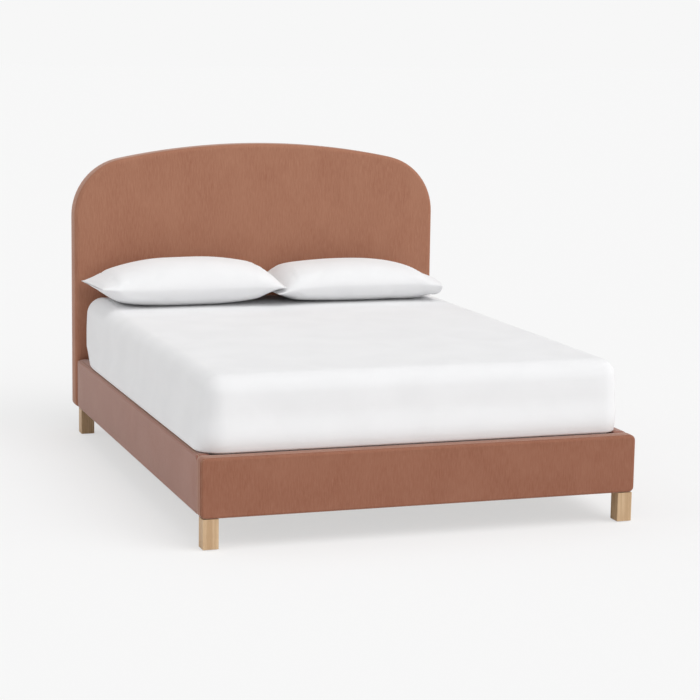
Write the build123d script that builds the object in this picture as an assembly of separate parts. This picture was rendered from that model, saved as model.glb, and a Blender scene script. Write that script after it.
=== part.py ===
from build123d import *
import os
from math import atan2, cos, pi, sin, sqrt

# A queen-size upholstered platform bed, with its mattress in a fitted sheet and two pillows.
# Millimetres. X runs across the bed (+X to the right, seen from the foot), Y from foot to head,
# Z up. The origin is on the floor under the middle of the whole bed.

# Overall sizes
bed_length = 2230.0  # outer face of the foot rail to the back of the headboard
rail_width = 1640.0  # across the outer faces of the two side rails
rail_clearance = 110.0  # floor to the underside of the rails and of the headboard
rail_height = 214.0
platform_drop = 51.0  # top of the rails down to the top of the slats

# Headboard outline: straight sides, round shoulders and one long flat arc across the top
headboard_reach = 6.0  # how far each side stands out past the side rail
headboard_height = 1258.0
headboard_depth = 90.0
shoulder_radius = 254.0
crown_radius = 3117.0

# Rails
foot_rail_reach = 3.0  # likewise
foot_rail_depth = 66.0
side_rail_depth = 52.0
rail_corner = 20.0  # rounding of a rail's corners in front view
rail_roll = 13.0  # rounding of a rail's padded outer edge
rail_back_roll = 6.0

# Upholstery
velvet = 2.0
fit_gap = 0.2  # clearance between nested soft pieces
headboard_foam = 30.0
rail_foam = 12.0
edge_foam = 10.0  # foam over the edges of a board
headboard_roll = 18.0
headboard_back_roll = 8.0
headboard_turn = 40.0  # how far the cover turns over the back of the headboard
rail_turn = 22.0  # how far a cover turns over the open back of a rail
lining = 1.0
lining_margin = 15.0  # the lining stops this far inside the headboard's outline
least_radius = 1.0

# Headboard timber
face_ply = 9.0
post_edge = 15.0  # from the corner bolts to the inner side of a post
post_top_drop = 158.0  # top of the headboard down to where the posts meet the crown rail
middle_rail_height = 90.0
middle_rail_level = 640.0
lower_rail_height = 130.0
lower_rail_level = 190.0
bottom_rail_height = 45.0

# Legs and glides
leg_side = 57.0
leg_set_in = 5.0  # leg face inside the rail's outer face
foot_leg_set_back = 3.0  # leg face behind the foot rail's outer face
leg_edge = 2.0
leg_foot_edge = 1.0
glide_height = 3.0
glide_radius = 14.0
glide_pin_radius = 2.0
glide_pin_length = 15.0
glide_edge = 0.75

# Fasteners
bolt_radius = 4.0
bolt_head_flats = 13.0
bolt_head_height = 5.0
short_bolt_length = 35.0
head_bolt_length = 72.0
hanger_bolt_in_leg = 50.0
hanger_bolt_in_rail = 45.0
screw_radius = 2.5
screw_head_radius = 5.0
screw_head_height = 3.0
bore_clearance = 0.05
overrun = 5.0  # how far a cutting shape runs past the face that it cuts

# Corner brackets
bracket_leg = 60.0
bracket_thickness = 3.0
bracket_height = 110.0
bracket_level = 130.0
bracket_bend = 4.0
bracket_bolt_from_end = 30.0  # from the free end of a bracket's leg to its bolts
bracket_bolt_margin = 35.0  # from the bracket's top or bottom edge to a bolt

# Slats, ledgers and straps
slat_count = 14
slat_width = 68.0
slat_thickness = 18.0
slat_end_gap = 4.0
slat_edge = 2.0
ledger_width = 30.0
ledger_height = 30.0
ledger_end_gap = 4.0  # from a corner bracket to the end of a ledger
ledger_screw_count = 6
ledger_screw_length = 50.0
ledger_screw_margin = 90.0
slat_screw_length = 35.0
slat_screw_margin = 17.0  # from a slat's long edge to its screw
strap_width = 40.0
strap_thickness = 1.5
strap_spread = 760.0

# Centre beam, its hangers and its legs
beam_width = 40.0
beam_height = 60.0
beam_end_gap = 0.5
hanger_thickness = 2.5
hanger_reach = 40.0
hanger_cheek_height = 50.0
hanger_flange = 22.0
hanger_flange_height = 58.0
hanger_screw_margin = 14.0
foot_hanger_screw_length = 40.0
head_hanger_screw_length = 75.0
centre_leg_side = 44.0
centre_leg_spread = 700.0
centre_bolt_in_beam = 40.0
centre_bolt_in_leg = 45.0

# Levellers under the centre legs
leveller_height = 24.0  # floor to the underside of a centre leg, with the screw home
pad_radius = 20.0
pad_height = 6.0
pad_edge = 2.0
pad_floor = 2.0  # pad thickness under the screw's foot
foot_radius = 5.0
stem_radius = 4.0
stem_engagement = 22.0  # stem inside the leg, with the screw home
nut_flats = 13.0
nut_height = 6.5
nut_gap = 0.1
insert_flange_radius = 11.0
insert_flange = 1.5
insert_radius = 5.6
insert_length = 14.0
stem_room_radius = 4.6
stem_room_depth = 26.0

# Mattress and fitted sheet
mattress_side_gap = 4.0  # from a side rail to the straight lower side of the mattress
mattress_foot_gap = 31.0
mattress_depth = 318.0
mattress_head_gap = 3.0  # from the headboard to the swell of the sheeted mattress
mattress_corner = 48.0
mattress_foot_edge = 25.0
mattress_shoulder = 68.0
mattress_crown = 1.0
mattress_swell = 28.0  # how far the sides swell out above the rails
mattress_swell_base = 24.0
mattress_roll = 24.0  # height in which the sides swell out, just above the rails
mattress_swell_top = 25.0
mattress_plain = 54.0  # height of the straight side that stands between the rails
rest_gap = 0.3  # between a soft piece and what it rests on
sheet = 1.2
sheet_turn = 120.0  # how far the sheet turns under the mattress

# Pillows
pillow_length = 800.0
pillow_depth = 440.0
left_pillow_top = 114.0  # from the seam up to the crown
left_pillow_base = 84.0  # from the seam down to the underside
right_pillow_top = 100.0
right_pillow_base = 80.0
pillow_hem = 6.0  # half the thickness left at the two ends
pillow_lip = 4.0  # half the thickness left along the front and back seams
pillow_case = 1.0
pillow_slack = 1.5  # room for a pillow in its case, which it rests on
left_pillow_centre = -403.0
pillow_press = 55.0  # how far the right pillow's end is pushed in by the left pillow
pillow_overlap = 35.0  # how far one pillow's end lies over the other's
pillow_from_headboard = 18.0
pillow_end_lift = 14.0  # the left pillow's end rises over the right pillow's
pillow_end_sink = 50.0  # the right pillow's end sinks under it
pillow_station_shares = (-0.5, -0.46, -0.36, -0.18, 0.0, 0.18, 0.36, 0.46, 0.5)
pillow_top_shares = (0.0, 0.22, 0.55, 0.86, 0.99, 1.0, 0.83, 0.36, 0.0)
pillow_base_shares = (0.0, 0.38, 0.86, 0.975, 0.994, 0.97, 0.78, 0.28, 0.0)
pillow_depth_shares = (1.0, 0.97, 0.955, 0.95, 0.95, 0.95, 0.955, 0.97, 1.0)
pillow_lift_shares = (0.0, 0.0, 0.0, 0.0, 0.0, 0.0, 0.22, 0.75, 1.0)
right_mouth_share = 0.22  # the right pillowcase's mouth stands open

# Places worked out from the sizes above
foot_face = -bed_length / 2
foot_inner = foot_face + foot_rail_depth
head_face = bed_length / 2 - headboard_depth
rail_top = rail_clearance + rail_height
side_length = head_face - foot_inner
side_middle = (head_face + foot_inner) / 2
side_inner = rail_width / 2 - side_rail_depth
slat_top = rail_top - platform_drop
slat_base = slat_top - slat_thickness
ledger_base = slat_base - ledger_height
beam_base = slat_base - beam_height
skin = velvet + fit_gap
headboard_width = rail_width + 2 * headboard_reach
foot_rail_width = rail_width + 2 * foot_rail_reach
bolt_reach = bracket_leg - bracket_bolt_from_end
glide_top = glide_height + glide_pin_length
ledger_reach = side_length - 2 * (bracket_leg + ledger_end_gap)
mattress_base = slat_top + rest_gap + sheet + fit_gap
mattress_head = head_face - mattress_head_gap - mattress_swell - fit_gap - sheet
mattress_foot = foot_inner + mattress_foot_gap
mattress_length = mattress_head - mattress_foot
mattress_width = 2 * (side_inner - mattress_side_gap)
mattress_middle = (mattress_head + mattress_foot) / 2
bed_top = mattress_base + mattress_depth + fit_gap + sheet

pieces = {}


def slab(x, y, z):
    """A block between its low and high places along each axis."""
    size = [high - low for low, high in (x, y, z)]
    middle = [(low + high) / 2 for low, high in (x, y, z)]
    return Pos(*middle) * Box(*size)


def rod(radius, start, end):
    """A round rod between two places."""
    path = Vector(*end) - Vector(*start)
    return Plane(origin=Vector(*start), z_dir=path) * extrude(Circle(radius), path.length)


def inset_radius(radius, inset):
    """The radius that a rounding has inside a skin, with some left for a thick skin."""
    return max(radius - inset, least_radius)


def drill(names, holes):
    """Cuts the same holes through several pieces."""
    for name in names:
        for hole in holes:
            pieces[name] = pieces[name] - hole


# Headboard


def arch_face(inset, bottom):
    """The headboard's outline in front view, drawn in on all its curved sides."""
    half = headboard_width / 2 - inset
    crown_centre = headboard_height - crown_radius
    shoulder_x = headboard_width / 2 - shoulder_radius
    shoulder_z = crown_centre + sqrt((crown_radius - shoulder_radius) ** 2 - shoulder_x**2)
    turn = atan2(shoulder_z - crown_centre, shoulder_x)
    shoulder = shoulder_radius - inset
    crown = crown_radius - inset
    meet = (crown * cos(turn), crown_centre + crown * sin(turn))
    middle = (shoulder_x + shoulder * cos(turn / 2), shoulder_z + shoulder * sin(turn / 2))

    def at(x, z):
        return Vector(x, 0, z)

    outline = [
        Line(at(-half, bottom), at(-half, shoulder_z)),
        ThreePointArc(at(-half, shoulder_z), at(-middle[0], middle[1]), at(-meet[0], meet[1])),
        ThreePointArc(at(-meet[0], meet[1]), at(0, headboard_height - inset), at(*meet)),
        ThreePointArc(at(*meet), at(*middle), at(half, shoulder_z)),
        Line(at(half, shoulder_z), at(half, bottom)),
        Line(at(half, bottom), at(-half, bottom)),
    ]
    return make_face(Wire(outline).edges())


def arch_block(inset, bottom, y_low, y_high):
    """The headboard's outline as a board between two depths."""
    return Pos(0, y_low, 0) * extrude(arch_face(inset, bottom), y_high - y_low, dir=(0, 1, 0))


def rolled_arch(inset, y_low, y_high):
    """The padded headboard at some depth under its surface, with its edges rolled."""
    body = arch_block(inset, rail_clearance + inset, y_low + inset, y_high - inset)
    bottom_corners = body.edges().filter_by(Axis.Y).group_by(Axis.Z)[0]
    body = fillet(bottom_corners, inset_radius(headboard_roll, inset) + least_radius)
    front = body.faces().sort_by(Axis.Y)[0].edges()
    body = fillet(front, inset_radius(headboard_roll, inset))
    back = body.faces().sort_by(Axis.Y)[-1].edges()
    return fillet(back, inset_radius(headboard_back_roll, inset))


def make_headboard():
    back = bed_length / 2
    cover_back = back - lining
    whole = rolled_arch(0, head_face, cover_back)
    hollow = rolled_arch(velvet, head_face, cover_back)
    window = arch_block(
        headboard_turn, rail_clearance + headboard_turn, cover_back - velvet - overrun, back
    )
    pieces["headboard_cover"] = whole - hollow - window
    pieces["headboard_back_lining"] = arch_block(
        lining_margin, rail_clearance + lining_margin, cover_back, back
    )

    timber = skin + edge_foam + fit_gap
    timber_bottom = rail_clearance + timber
    timber_front = head_face + skin + headboard_foam + fit_gap
    timber_back = cover_back - skin
    padding = rolled_arch(skin, head_face, cover_back)
    pocket = arch_block(
        timber - fit_gap, timber_bottom - fit_gap, timber_front - fit_gap, back
    )
    pieces["headboard_foam"] = padding - pocket
    frame_front = timber_front + face_ply
    pieces["headboard_face_panel"] = arch_block(timber, timber_bottom, timber_front, frame_front)

    post_top = headboard_height - post_top_drop
    board = arch_block(timber, timber_bottom, frame_front, timber_back)
    outer = headboard_width / 2 - timber
    inner = side_inner - bolt_reach - post_edge
    depth = (frame_front, timber_back)
    for side, sign in (("left", -1), ("right", 1)):
        across = sorted((sign * inner, sign * outer))
        upright = slab(across, depth, (timber_bottom, post_top))
        pieces[f"headboard_{side}_post"] = board & upright
    above = slab((-outer, outer), depth, (post_top, headboard_height))
    pieces["headboard_crown_rail"] = board & above
    between = (-inner, inner)
    levels = {
        "middle": (middle_rail_level, middle_rail_height),
        "lower": (lower_rail_level, lower_rail_height),
        "bottom": (timber_bottom, bottom_rail_height),
    }
    for name, (level, height) in levels.items():
        pieces[f"headboard_{name}_rail"] = slab(between, depth, (level, level + height))


# Padded rails


def rolled_panel(length, depth, inset):
    """A padded rail at some depth under its surface, outer face towards -Y and foot at Z zero."""
    outline = RectangleRounded(
        length - 2 * inset, rail_height - 2 * inset, inset_radius(rail_corner, inset)
    )
    body = extrude(Plane.XZ * outline, -(depth - 2 * inset))
    body = fillet(body.faces().sort_by(Axis.Y)[0].edges(), inset_radius(rail_roll, inset))
    body = fillet(body.faces().sort_by(Axis.Y)[-1].edges(), inset_radius(rail_back_roll, inset))
    return Pos(0, inset, rail_height / 2) * body


def padded_rail(length, depth):
    """Cover, foam and board of one rail, in the place that rolled_panel describes."""
    half = length / 2
    edge = skin + edge_foam
    front = skin + rail_foam
    window = slab(
        (rail_turn - half, half - rail_turn),
        (depth - velvet - overrun, depth + overrun),
        (rail_turn, slat_base - rail_clearance + fit_gap),
    )
    cover = rolled_panel(length, depth, 0) - rolled_panel(length, depth, velvet) - window
    filling = rolled_panel(length, depth, skin)
    pocket = slab(
        (edge - half, half - edge), (front, depth + overrun), (-overrun, rail_height - edge)
    )
    core = slab(
        (edge + fit_gap - half, half - edge - fit_gap),
        (front + fit_gap, depth),
        (0, rail_height - edge - fit_gap),
    )
    return {"cover": cover, "foam": filling - pocket, "board": filling & core}


def make_rails():
    foot = Pos(0, foot_face, rail_clearance)
    right = Pos(rail_width / 2, side_middle, rail_clearance) * Rot(0, 0, 90)
    left = Pos(-rail_width / 2, side_middle, rail_clearance) * Rot(0, 0, -90)
    for layer, shape in padded_rail(foot_rail_width, foot_rail_depth).items():
        pieces[f"foot_rail_{layer}"] = foot * shape
    for layer, shape in padded_rail(side_length, side_rail_depth).items():
        pieces[f"left_side_rail_{layer}"] = left * shape
        pieces[f"right_side_rail_{layer}"] = right * shape


# Fasteners


def bolt(length):
    """A hexagon bolt whose head stands on the XY plane and whose shank points to -Z."""
    head = extrude(RegularPolygon(bolt_head_flats / 2, 6, major_radius=False), bolt_head_height)
    return head + rod(bolt_radius, (0, 0, 0), (0, 0, -length))


def screw(length):
    """A countersunk screw, its head flush with the XY plane and its shank pointing to -Z."""
    head = Pos(0, 0, -screw_head_height / 2) * Cone(
        screw_radius, screw_head_radius, screw_head_height
    )
    return head + rod(screw_radius, (0, 0, -screw_head_height), (0, 0, -length))


def bolt_bore(length):
    return rod(bolt_radius + bore_clearance, (0, 0, overrun), (0, 0, -length - bore_clearance))


def screw_bore(length):
    head = Pos(0, 0, -screw_head_height / 2) * Cone(
        screw_radius + bore_clearance, screw_head_radius + bore_clearance, screw_head_height
    )
    shank = rod(screw_radius + bore_clearance, (0, 0, 0), (0, 0, -length - bore_clearance))
    return head + shank


def facing(x, y, z, outward):
    """The place of a fastener whose head looks along outward."""
    return Plane(origin=(x, y, z), z_dir=outward).location


# Corner brackets and their bolts


def corner_bracket(across, along):
    """An angle bracket at the origin, with one leg along X and one along Y, signs as given."""
    tall = (0, bracket_height)
    wing_x = sorted((0, across * bracket_leg))
    wing_y = sorted((0, along * bracket_thickness))
    cheek_x = sorted((0, across * bracket_thickness))
    cheek_y = sorted((0, along * bracket_leg))
    body = slab(wing_x, wing_y, tall) + slab(cheek_x, cheek_y, tall)
    bend = Vector(across * bracket_thickness, along * bracket_thickness, bracket_height / 2)
    inner_corner = body.edges().filter_by(Axis.Z).sort_by_distance(bend)[0]
    return fillet(inner_corner, bracket_bend)


def make_brackets():
    levels = (
        bracket_level + bracket_bolt_margin,
        bracket_level + bracket_height - bracket_bolt_margin,
    )
    ends = {
        "foot": (foot_inner, 1, short_bolt_length),
        "head": (head_face, -1, head_bolt_length),
    }
    for end, (face, along, length) in ends.items():
        brackets, end_bolts, end_bores = [], [], []
        for side, sign in (("left", -1), ("right", 1)):
            place = Pos(sign * side_inner, face, bracket_level)
            side_bolts, side_bores = [], []
            for level in levels:
                rail_x, rail_y = sign * (side_inner - bracket_thickness), face + along * bolt_reach
                end_x, end_y = sign * (side_inner - bolt_reach), face + along * bracket_thickness
                on_rail = facing(rail_x, rail_y, level, (-sign, 0, 0))
                on_end = facing(end_x, end_y, level, (0, along, 0))
                side_bolts.append(on_rail * bolt(short_bolt_length))
                side_bores.append(on_rail * bolt_bore(short_bolt_length))
                end_bolts.append(on_end * bolt(length))
                end_bores.append(on_end * bolt_bore(length))
            body = place * corner_bracket(-sign, along)
            brackets.append(body - side_bores - end_bores)
            pieces.setdefault("side_rail_bolts", []).extend(side_bolts)
            drill([f"{side}_side_rail_cover", f"{side}_side_rail_board"], side_bores)
        pieces[f"{end}_corner_brackets"] = brackets
        pieces[f"{end}_bolts"] = end_bolts
        if end == "foot":
            drill(["foot_rail_cover", "foot_rail_board"], end_bores)
        else:
            drill(["headboard_cover", "headboard_foam", "headboard_face_panel"], end_bores)
            drill(["headboard_left_post"], end_bores[:2])
            drill(["headboard_right_post"], end_bores[2:])


# Oak legs with their hanger bolts and glides


def oak_leg():
    body = slab(
        (-leg_side / 2, leg_side / 2), (-leg_side / 2, leg_side / 2), (glide_height, rail_clearance)
    )
    body = chamfer(body.faces().sort_by(Axis.Z)[0].edges(), leg_foot_edge)
    return fillet(body.edges().filter_by(Axis.Z), leg_edge)


def glide():
    disc = rod(glide_radius, (0, 0, 0), (0, 0, glide_height))
    disc = chamfer(disc.edges().sort_by(Axis.Z)[0], glide_edge)
    return disc + rod(glide_pin_radius, (0, 0, glide_height), (0, 0, glide_top))


def make_legs():
    x = rail_width / 2 - leg_set_in - leg_side / 2
    rows = {
        "front": foot_face + foot_leg_set_back + leg_side / 2,
        "rear": head_face - leg_set_in - leg_side / 2,
    }
    low = rail_clearance - hanger_bolt_in_leg
    high = rail_clearance + skin + hanger_bolt_in_rail
    bolt_room = rod(
        bolt_radius + bore_clearance, (0, 0, low - bore_clearance), (0, 0, high + bore_clearance)
    )
    pin_room = rod(
        glide_pin_radius + bore_clearance, (0, 0, 0), (0, 0, glide_top + bore_clearance)
    )
    bolts, glides = [], []
    for row, y in rows.items():
        for side, sign in (("left", -1), ("right", 1)):
            place = Pos(sign * x, y, 0)
            bore = place * bolt_room
            pieces[f"{row}_{side}_leg"] = place * (oak_leg() - bolt_room - pin_room)
            bolts.append(place * rod(bolt_radius, (0, 0, low), (0, 0, high)))
            glides.append(place * glide())
            rail = "foot_rail" if row == "front" else f"{side}_side_rail"
            drill([f"{rail}_cover", f"{rail}_board"], [bore])
    pieces["leg_hanger_bolts"] = bolts
    pieces["leg_glides"] = glides


# Slats and what carries them


def make_ledgers():
    inner = side_inner - ledger_width
    outer = side_inner + skin
    low = foot_inner + bracket_leg + ledger_end_gap
    high = low + ledger_reach
    level = ledger_base + ledger_height / 2
    step = (ledger_reach - 2 * ledger_screw_margin) / (ledger_screw_count - 1)
    screws = []
    for side, sign in (("left", -1), ("right", 1)):
        ledger = slab(sorted((sign * inner, sign * outer)), (low, high), (ledger_base, slat_base))
        places = [
            facing(sign * inner, low + ledger_screw_margin + step * i, level, (-sign, 0, 0))
            for i in range(ledger_screw_count)
        ]
        bores = [place * screw_bore(ledger_screw_length) for place in places]
        screws += [place * screw(ledger_screw_length) for place in places]
        pieces[f"{side}_slat_ledger"] = ledger
        drill([f"{side}_slat_ledger", f"{side}_side_rail_board"], bores)
    pieces["ledger_screws"] = screws


def make_slats():
    half = side_inner - slat_end_gap
    first = foot_inner + bracket_leg + ledger_end_gap + slat_width / 2
    last = first + ledger_reach - slat_width
    step = (last - first) / (slat_count - 1)
    middles = [first + step * i for i in range(slat_count)]
    slats = []
    for y in middles:
        board = slab((-half, half), (y - slat_width / 2, y + slat_width / 2), (slat_base, slat_top))
        slats.append(chamfer(board.edges().filter_by(Axis.X), slat_edge))
    screw_x = side_inner - ledger_width / 2
    places = [
        facing(sign * screw_x, y + shift * (slat_width / 2 - slat_screw_margin), slat_top, (0, 0, 1))
        for y in (middles[0], middles[-1])
        for sign in (-1, 1)
        for shift in (-1, 1)
    ]
    bores = [place * screw_bore(slat_screw_length) for place in places]
    pieces["slats"] = [slats[0] - bores[:4], *slats[1:-1], slats[-1] - bores[4:]]
    pieces["slat_screws"] = [place * screw(slat_screw_length) for place in places]
    drill(["left_slat_ledger"], bores[:2] + bores[4:6])
    drill(["right_slat_ledger"], bores[2:4] + bores[6:])
    pieces["slat_straps"] = [
        slab(
            (x - strap_width / 2, x + strap_width / 2),
            (first - slat_width / 2, last + slat_width / 2),
            (slat_base - strap_thickness, slat_base),
        )
        for x in (-strap_spread / 2, strap_spread / 2)
    ]


# Centre beam


def beam_hanger():
    """A joist hanger at a face that lies in the XZ plane, reaching out to +Y under the beam."""
    seat = beam_width / 2 + fit_gap
    wall = seat + hanger_thickness
    low = beam_base - hanger_thickness
    cheek_top = beam_base + hanger_cheek_height
    ear = wall + hanger_flange
    depth = (0, hanger_reach)
    shelf = slab((-wall, wall), depth, (low, beam_base))
    flange = slab((-ear, ear), (0, hanger_thickness), (low, low + hanger_flange_height))
    cheeks = [slab(sides, depth, (low, cheek_top)) for sides in ((-wall, -seat), (seat, wall))]
    return shelf + flange + cheeks


def make_beam():
    half = beam_width / 2
    gap = hanger_thickness + beam_end_gap
    pieces["centre_beam"] = slab(
        (-half, half), (foot_inner + gap, head_face - gap), (beam_base, slat_base)
    )
    flange_middle = half + fit_gap + hanger_thickness + hanger_flange / 2
    low = beam_base - hanger_thickness
    levels = (low + hanger_screw_margin, low + hanger_flange_height - hanger_screw_margin)
    screws, hangers = [], []
    ends = (
        (foot_inner, 0, foot_hanger_screw_length, ["foot_rail_cover", "foot_rail_board"]),
        (
            head_face,
            180,
            head_hanger_screw_length,
            ["headboard_cover", "headboard_foam", "headboard_face_panel", "headboard_lower_rail"],
        ),
    )
    for face, turn, length, through in ends:
        along = 1 if turn == 0 else -1
        places = [
            facing(sign * flange_middle, face + along * hanger_thickness, level, (0, along, 0))
            for sign in (-1, 1)
            for level in levels
        ]
        bores = [place * screw_bore(length) for place in places]
        screws += [place * screw(length) for place in places]
        hangers.append(Pos(0, face, 0) * Rot(0, 0, turn) * beam_hanger() - bores)
        drill(through, bores)
    pieces["beam_hangers"] = hangers
    pieces["beam_hanger_screws"] = screws


# Centre legs and their levellers


def centre_leg():
    half = centre_leg_side / 2
    body = slab((-half, half), (-half, half), (leveller_height, beam_base))
    body = fillet(body.edges().filter_by(Axis.Z), leg_edge)
    sleeve_top = leveller_height + insert_length + bore_clearance
    sleeve_room = rod(insert_radius + bore_clearance, (0, 0, 0), (0, 0, sleeve_top))
    stem_room = rod(stem_room_radius, (0, 0, 0), (0, 0, leveller_height + stem_room_depth))
    return body - sleeve_room - stem_room


def threaded_insert():
    low = leveller_height - insert_flange
    high = leveller_height + insert_length
    flange = rod(insert_flange_radius, (0, 0, low), (0, 0, leveller_height))
    sleeve = rod(insert_radius, (0, 0, leveller_height), (0, 0, high))
    bore = rod(stem_radius + bore_clearance, (0, 0, low - overrun), (0, 0, high + overrun))
    return flange + sleeve - bore


def leveller_pad():
    disc = rod(pad_radius, (0, 0, 0), (0, 0, pad_height))
    disc = fillet(disc.edges().sort_by(Axis.Z)[-1], pad_edge)
    socket = rod(foot_radius + bore_clearance, (0, 0, pad_floor), (0, 0, pad_height + overrun))
    return disc - socket


def leveller_stem():
    """The levelling screw: its foot in the pad's socket, a hexagon to turn, and the thread."""
    nut_top = leveller_height - insert_flange - nut_gap
    foot = rod(foot_radius, (0, 0, pad_floor + bore_clearance), (0, 0, nut_top - nut_height))
    nut = Pos(0, 0, nut_top - nut_height) * extrude(
        RegularPolygon(nut_flats / 2, 6, major_radius=False), nut_height
    )
    thread = rod(stem_radius, (0, 0, nut_top), (0, 0, leveller_height + stem_engagement))
    return foot + nut + thread


def make_centre_legs():
    bolts, inserts = [], []
    low = beam_base - centre_bolt_in_leg
    high = beam_base + centre_bolt_in_beam
    for name, y in (("front", -centre_leg_spread / 2), ("rear", centre_leg_spread / 2)):
        place = Pos(0, y, 0)
        bore = place * rod(
            bolt_radius + bore_clearance, (0, 0, low - bore_clearance), (0, 0, high + bore_clearance)
        )
        pieces[f"{name}_centre_leg"] = place * centre_leg() - bore
        pieces[f"{name}_leveller_pad"] = place * leveller_pad()
        pieces[f"{name}_leveller_stem"] = place * leveller_stem()
        bolts.append(place * rod(bolt_radius, (0, 0, low), (0, 0, high)))
        inserts.append(place * threaded_insert())
        drill(["centre_beam"], [bore])
    pieces["centre_leg_bolts"] = bolts
    pieces["leveller_inserts"] = inserts


# Mattress and fitted sheet


def mattress_edge(grow):
    """Section of the mattress's edge, U outward from its nominal side and Z up from its base."""
    side = (grow, mattress_foot_edge)
    plain = (grow, mattress_plain)
    swollen = (mattress_swell_base + grow, mattress_plain + mattress_roll)
    top = mattress_depth - mattress_crown
    shoulder_low = top - mattress_shoulder
    shoulder_in = mattress_swell_top - mattress_shoulder
    reach = mattress_shoulder + grow
    tilt = cos(pi / 4)

    def at(u, z):
        return Vector(u, 0, z)

    base_arc = mattress_foot_edge + grow
    outline = [
        Line(at(-mattress_corner, -grow), at(-mattress_foot_edge, -grow)),
        ThreePointArc(
            at(-mattress_foot_edge, -grow),
            at(base_arc * tilt - mattress_foot_edge, mattress_foot_edge - base_arc * tilt),
            at(*side),
        ),
        Line(at(*side), at(*plain)),
        Line(at(*plain), at(*swollen)),
        ThreePointArc(
            at(*swollen),
            at(mattress_swell + grow, (swollen[1] + shoulder_low) / 2),
            at(mattress_swell_top + grow, shoulder_low),
        ),
        ThreePointArc(
            at(mattress_swell_top + grow, shoulder_low),
            at(shoulder_in + reach * tilt, shoulder_low + reach * tilt),
            at(shoulder_in, top + grow),
        ),
        Line(at(shoulder_in, top + grow), at(-mattress_corner, mattress_depth + grow)),
        Line(at(-mattress_corner, mattress_depth + grow), at(-mattress_corner, -grow)),
    ]
    return make_face(Wire(outline).edges())


def mattress_block(grow):
    """The mattress with its swelling sides: a core, four straight edges and four turned corners."""
    x = mattress_width / 2 - mattress_corner
    y = mattress_length / 2 - mattress_corner
    section = mattress_edge(grow)
    from_corner = Pos(mattress_corner, 0, 0) * section
    body = slab((-x, x), (-y, y), (-grow, mattress_depth + grow))
    for turn, run, reach in ((0, y, x), (90, x, y), (180, y, x), (270, x, y)):
        edge = Pos(reach, -run, 0) * extrude(from_corner, 2 * run, dir=(0, 1, 0))
        corner = Pos(reach, run, 0) * revolve(from_corner, Axis.Z, 90)
        body += Rot(0, 0, turn) * (edge + corner)
    return Pos(0, mattress_middle, mattress_base) * body


def make_mattress():
    pieces["mattress"] = mattress_block(0)
    x = mattress_width / 2 - sheet_turn
    y = mattress_length / 2 - sheet_turn
    base = mattress_base - fit_gap - sheet
    along = (mattress_middle - y, mattress_middle + y)
    opening = slab((-x, x), along, (base - overrun, mattress_base + overrun))
    pieces["fitted_sheet"] = mattress_block(fit_gap + sheet) - mattress_block(fit_gap) - opening


# Pillows


def between_stations(place, shares):
    """A table's share at a place along a pillow, in line between the stations next to it."""
    table = list(zip(pillow_station_shares, shares))
    for (low, share_low), (high, share_high) in zip(table, table[1:]):
        if place <= high:
            break
    return share_low + (share_high - share_low) * (place - low) / (high - low)


def pillow_block(form, inset, mouth_inset):
    """The outline of a pillow's case, drawn in alike on all sides but its mouth.

    Cross-sections are lofted from the outer end, which is the mouth, to the other end, which
    lies towards the middle of the bed and rises or sinks where the two pillows overlap.
    """
    places = list(pillow_station_shares)
    places[0] += mouth_inset / form["length"]
    places[-1] -= inset / form["length"]
    mouth = form["mouth_share"]
    sections = []
    for place in places:
        x = form["turn"] * place * form["length"]
        rise = max(mouth * (place < 0), between_stations(place, pillow_top_shares))
        drop = max(mouth * (place < 0), between_stations(place, pillow_base_shares))
        seam = form["lift"] * between_stations(place, pillow_lift_shares)
        half = pillow_depth * between_stations(place, pillow_depth_shares) / 2 - inset
        over = seam - inset + pillow_hem + (form["top"] - pillow_hem) * rise
        under = seam + inset - pillow_hem - (form["base"] - pillow_hem) * drop
        lip = pillow_lip - inset
        corners = [
            Vector(x, side * half, seam + edge * lip)
            for side, edge in ((-1, 1), (1, 1), (1, -1), (-1, -1))
        ]
        outline = [
            ThreePointArc(corners[0], Vector(x, 0, over), corners[1]),
            Line(corners[1], corners[2]),
            ThreePointArc(corners[2], Vector(x, 0, under), corners[3]),
            Line(corners[3], corners[0]),
        ]
        sections.append(make_face(Wire(outline).edges()))
    return loft(sections)


def make_pillows():
    pressed_length = pillow_length - pillow_press
    left_end = left_pillow_centre + pillow_length / 2
    forms = {
        "left": {
            "x": left_pillow_centre, "length": pillow_length, "turn": 1, "mouth_share": 0,
            "top": left_pillow_top, "base": left_pillow_base, "lift": pillow_end_lift,
        },
        "right": {
            "x": left_end - pillow_overlap + pressed_length / 2, "length": pressed_length,
            "turn": -1, "mouth_share": right_mouth_share,
            "top": right_pillow_top, "base": right_pillow_base, "lift": -pillow_end_sink,
        },
    }
    y = head_face - pillow_from_headboard - pillow_depth / 2
    inset = pillow_case + pillow_slack
    sunk = Pos(0, 0, rest_gap - pillow_slack)
    for name, form in forms.items():
        place = Pos(form["x"], y, bed_top + rest_gap + form["base"])
        room = pillow_block(form, pillow_case, 0)
        pieces[f"{name}_pillow"] = place * sunk * pillow_block(form, inset, inset)
        pieces[f"{name}_pillowcase"] = place * (pillow_block(form, 0, 0) - room)


make_headboard()
make_rails()
make_brackets()
make_legs()
make_ledgers()
make_slats()
make_beam()
make_centre_legs()
make_mattress()
make_pillows()

os.makedirs("parts", exist_ok=True)
for name, shape in pieces.items():
    solids = shape if isinstance(shape, list) else [shape]
    solids = [solid for entry in solids for solid in entry.solids()]
    export_step(Compound(children=solids, label=name), f"parts/{name}.step")
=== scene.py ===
from math import atan2, cos, exp, hypot, pi, radians, sin, sqrt

import bmesh
import bpy
from mathutils import Matrix, Vector, kdtree, noise


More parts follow.
